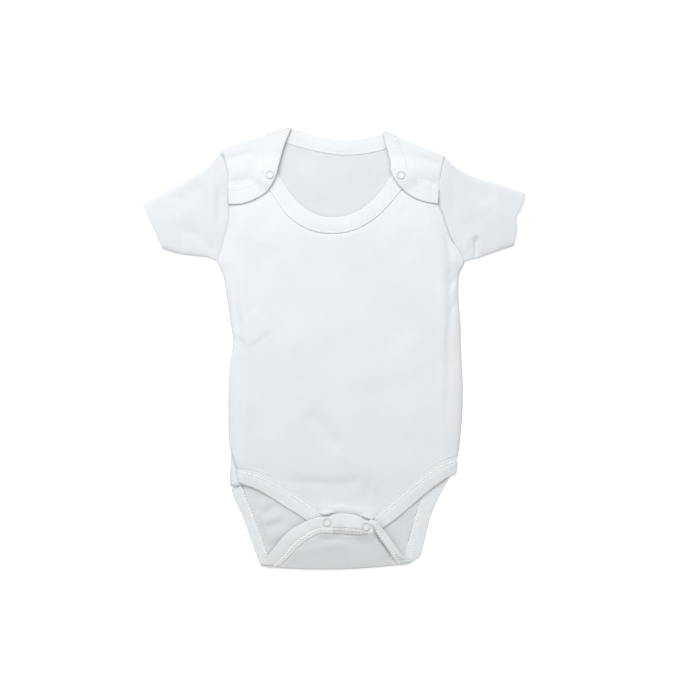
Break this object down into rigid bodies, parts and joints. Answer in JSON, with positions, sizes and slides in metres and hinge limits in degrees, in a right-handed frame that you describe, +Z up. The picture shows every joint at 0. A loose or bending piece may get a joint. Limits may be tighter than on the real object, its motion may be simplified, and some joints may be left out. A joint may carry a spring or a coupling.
{
  "type": "baby onesie",
  "caption": "short-sleeved baby bodysuit laid flat, with an envelope neck, rib bindings, ring snaps and the crotch flap snapped over the front",
  "frame": {"origin": "on the surface that the garment lies on, under the middle of its bounding box", "axes": "+X to the right as seen from above, +Y towards the neck, +Z up from the surface, towards the front of the garment"},
  "size_m": [0.3244, 0.3764, 0.0077],
  "materials": {
    "cotton_interlock": "white cotton interlock, fine smooth knit with a soft nap",
    "cotton_rib": "white 1x1 rib, folded into flat bindings",
    "white_snap": "white enamelled brass ring snaps, satin"
  },
  "bodies": {
    "root": {"back_panel": "cotton_interlock", "front_panel": "cotton_interlock", "sleeve_left": "cotton_interlock", "sleeve_right": "cotton_interlock", "front_neck_binding": "cotton_rib", "back_neck_binding": "cotton_rib", "front_leg_binding_left": "cotton_rib", "front_leg_binding_right": "cotton_rib", "back_leg_binding_left": "cotton_rib", "back_leg_binding_right": "cotton_rib", "flap_end_binding": "cotton_rib", "tab_end_binding": "cotton_rib", "snap_shoulder_left_ring": "white_snap", "snap_shoulder_right_ring": "white_snap", "snap_crotch_left_ring": "white_snap", "snap_crotch_right_ring": "white_snap", "snap_shoulder_left_stud": "white_snap", "snap_shoulder_right_stud": "white_snap", "snap_crotch_left_stud": "white_snap", "snap_crotch_right_stud": "white_snap"}
  },
  "joints": []
}
